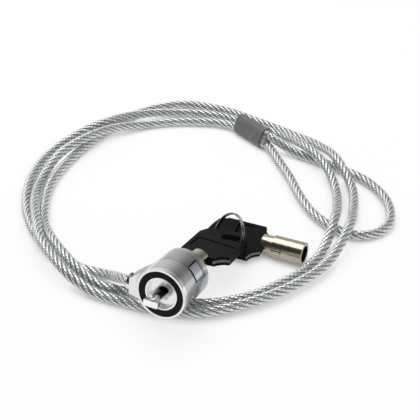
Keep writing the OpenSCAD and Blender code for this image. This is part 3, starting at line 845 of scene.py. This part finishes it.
for key in ("key_1", "key_2"):
    softened(key + "_blade", key_nickel, edge_width=0.00020)
    softened(key + "_grip", grip_black, edge_width=0.00040)
    # The tang's bare edges: a thin strip along each arc of the grip's waist, whose
    # points are the arc's middle + radius * (cos, sin) of the turn.
    turn = np.radians(np.linspace(*STRIP_SPAN_DEG, STRIP_STEPS))[:, None]
    strip_radius = WAIST_RADIUS + STRIP_OUT[None, :]
    for name, side in (("near", 1), ("far", -1)):
        strip = on_key(key, GRIP_SHIFT + side * (WAIST_SIDE + strip_radius * np.cos(turn)),
                       WAIST_BACK + strip_radius * np.sin(turn),
                       STRIP_HIGH[None, :] + 0 * turn)
        key_detail(key + "_tang_edge_" + name, key, strip, tang_steel)
    # The rolled tube's T-shaped seam: a stem along the tube and a bar round it, each a
    # flat section at tube radius * (cos, sin) of the seam's turn.
    stem_back = np.linspace(SEAM_END, TUBE_LEN, STEM_STEPS)[:, None]
    stem_turn = SEAM_TURN + SEAM_HALF / TUBE_RADIUS * SEAM_SIDES[None, :] + 0 * stem_back
    bar_turn = SEAM_TURN + np.linspace(-SEAM_BAR, SEAM_BAR, BAR_STEPS)[:, None] / TUBE_RADIUS
    bar_back = SEAM_END + SEAM_HALF * SEAM_SIDES[None, :] + 0 * bar_turn
    for name, seam_turn, seam_back in (("stem", stem_turn, stem_back + 0 * stem_turn),
                                       ("bar", bar_turn + 0 * bar_back, bar_back)):
        seam_radius = TUBE_RADIUS + SEAM_HIGH[None, :] + 0 * seam_turn
        seam = on_key(key, seam_radius * np.cos(seam_turn), seam_back,
                      seam_radius * np.sin(seam_turn))
        key_detail(key + "_seam_" + name, key, seam, seam_and_shade_black)
    # Painted shade of the step round the grip's moulded panel: a thin dark strip of two straight
    # legs on each face, whose points are corner + way * run + PANEL_OUT * the run's normal, a
    # little above the face.
    for name, face in (("top", 1), ("under", -1)):
        for part in (0, 1):
            leg = np.linspace(PANEL_CORNERS[part], PANEL_CORNERS[part + 1], PANEL_STEPS)
            run = PANEL_CORNERS[part + 1] - PANEL_CORNERS[part]
            run /= np.linalg.norm(run)
            wide = leg[:, None, 0] - PANEL_OUT[None, :] * run[1]
            back = leg[:, None, 1] + PANEL_OUT[None, :] * run[0]
            high = face * (GRIP_TOP - PANEL_SUNK + PANEL_HIGH[None, :]) + 0 * wide
            key_detail("%s_panel_line_%s_%d" % (key, name, part), key,
                       on_key(key, wide, back, high), seam_and_shade_black)


# ---------------------------------------------------------------------------
# Split ring: one spring-steel wire wound in two touching turns, with a short
# step where it passes from the first turn to the second.
# ---------------------------------------------------------------------------
RING_MID = np.array([2.1, 54.4, 9.0]) + LAY_SHIFT
RING_TURN = math.radians(52.7)
RING_LEAN = math.radians(-29.3)
RING_RADIUS = 9.05
RING_STEPS = 240
RING_SHARP = math.radians(50.0)
TURN_RISE = 0.4
WIRE_RADIUS = 0.392
WIRE_SIDES = 14
STEP_TURN = 0.55
START_TURN = math.radians(120.0)
ring_axis = np.array([math.cos(RING_TURN) * math.cos(RING_LEAN),
                      math.sin(RING_TURN) * math.cos(RING_LEAN), math.sin(RING_LEAN)])
ring_across = np.cross(ring_axis, [0.0, 0.0, 1.0])
ring_across /= np.linalg.norm(ring_across)
ring_other = np.cross(ring_axis, ring_across)

# The wire's middle is the ring's middle + radius * outward + rise * axis. The rise
# stays the same along each turn and follows 3 u^2 - 2 u^3 in the step between them.
# The skin is that middle + wire radius * (cos * outward + sin * axis).
turn = np.linspace(0.0, 4 * math.pi - STEP_TURN, RING_STEPS)
rise = np.clip((turn - (2 * math.pi - STEP_TURN)) / STEP_TURN, 0.0, 1.0)
rise = TURN_RISE * (2 * rise * rise * (3 - 2 * rise) - 1)
outward = (np.cos(turn + START_TURN)[:, None] * ring_across
           + np.sin(turn + START_TURN)[:, None] * ring_other)
wire_middle = RING_MID + RING_RADIUS * outward + rise[:, None] * ring_axis
section = np.linspace(0.0, 2 * math.pi, WIRE_SIDES, endpoint=False)
ring_rings = (wire_middle[:, None] + WIRE_RADIUS
              * (np.cos(section)[None, :, None] * outward[:, None]
                 + np.sin(section)[None, :, None] * ring_axis))
ring_steel = mottled("ring_steel", dark=(0.22, 0.21, 0.18), light=(0.34, 0.33, 0.29), scale=300.0,
                     rough=(0.10, 0.16), metallic=1.0)
split_ring_wire = closed_loft("split_ring_wire", ring_rings / 1000.0, ring_steel)
split_ring_wire.data.shade_smooth()
split_ring_wire.data.set_sharp_from_angle(angle=RING_SHARP)
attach(split_ring_wire, "ring")
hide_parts("split_ring")
